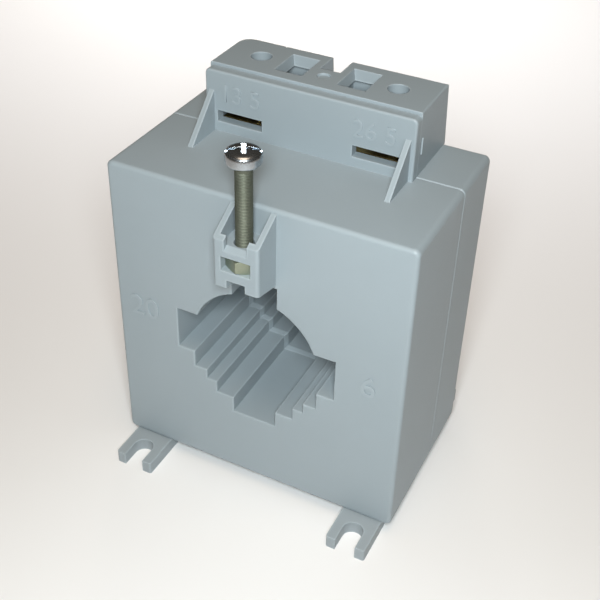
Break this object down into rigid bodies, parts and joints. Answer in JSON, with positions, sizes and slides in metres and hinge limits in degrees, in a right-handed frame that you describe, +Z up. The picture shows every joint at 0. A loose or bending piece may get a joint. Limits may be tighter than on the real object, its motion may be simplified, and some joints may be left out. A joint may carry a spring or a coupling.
{
  "type": "current transformer",
  "caption": "Window current transformer: moulded case with a stepped busbar window, clamp screw, terminal block and slotted foot rails.",
  "frame": {"origin": "on the mounting surface, under the middle of the case", "axes": "+Z up, -Y out of the front face with the clamp bracket, +X to the right seen from the front"},
  "size_m": [0.075, 0.0646, 0.1003],
  "materials": {
    "case_front": "light blue-grey moulded ABS, satin to matt",
    "case_rear": "light blue-grey moulded ABS, satin to matt",
    "foot": "light blue-grey moulded polyamide, matt",
    "clamp_screw": "bright zinc-plated steel",
    "clamp_nut": "zinc-plated steel, slightly yellow",
    "core": "edges of wound silicon steel strip",
    "core_cap": "natural white moulded plastic",
    "winding": "enamelled copper wire, laid in one layer",
    "tape": "yellow polyester tape",
    "lead": "tinned copper wire",
    "sleeve": "black insulating sleeve",
    "terminal_bar": "rolled brass",
    "terminal_screw": "bright zinc-plated steel",
    "terminal_washer": "bright zinc-plated steel"
  },
  "bodies": {
    "case": {"front_case": "case_front", "rear_cover": "case_rear", "mounting_foot_left": "foot", "mounting_foot_right": "foot", "clamp_nut": "clamp_nut", "toroid_core": "core", "core_cap_front": "core_cap", "core_cap_rear": "core_cap", "secondary_winding": "winding", "winding_tape": "tape", "lead_wire_1": "lead", "lead_wire_2": "lead", "lead_sleeve_1": "sleeve", "lead_sleeve_2": "sleeve", "terminal_bar_1": "terminal_bar", "terminal_bar_2": "terminal_bar"},
    "clamp_screw": {"clamp_screw": "clamp_screw"},
    "terminal_clamp_1": {"terminal_screw_1": "terminal_screw", "terminal_washer_1": "terminal_washer"},
    "terminal_clamp_2": {"terminal_screw_2": "terminal_screw", "terminal_washer_2": "terminal_washer"}
  },
  "joints": [
    {"name": "clamp_screw_travel", "type": "slide", "parent": "case", "child": "clamp_screw", "axis": [0, 0, -1], "range_m": [0, 0.0163]},
    {"name": "terminal_clamp_travel_1", "type": "slide", "parent": "case", "child": "terminal_clamp_1", "axis": [0, 0, -1], "range_m": [0, 0.0027]},
    {"name": "terminal_clamp_travel_2", "type": "slide", "parent": "case", "child": "terminal_clamp_2", "axis": [0, 0, -1], "range_m": [0, 0.0027]}
  ]
}
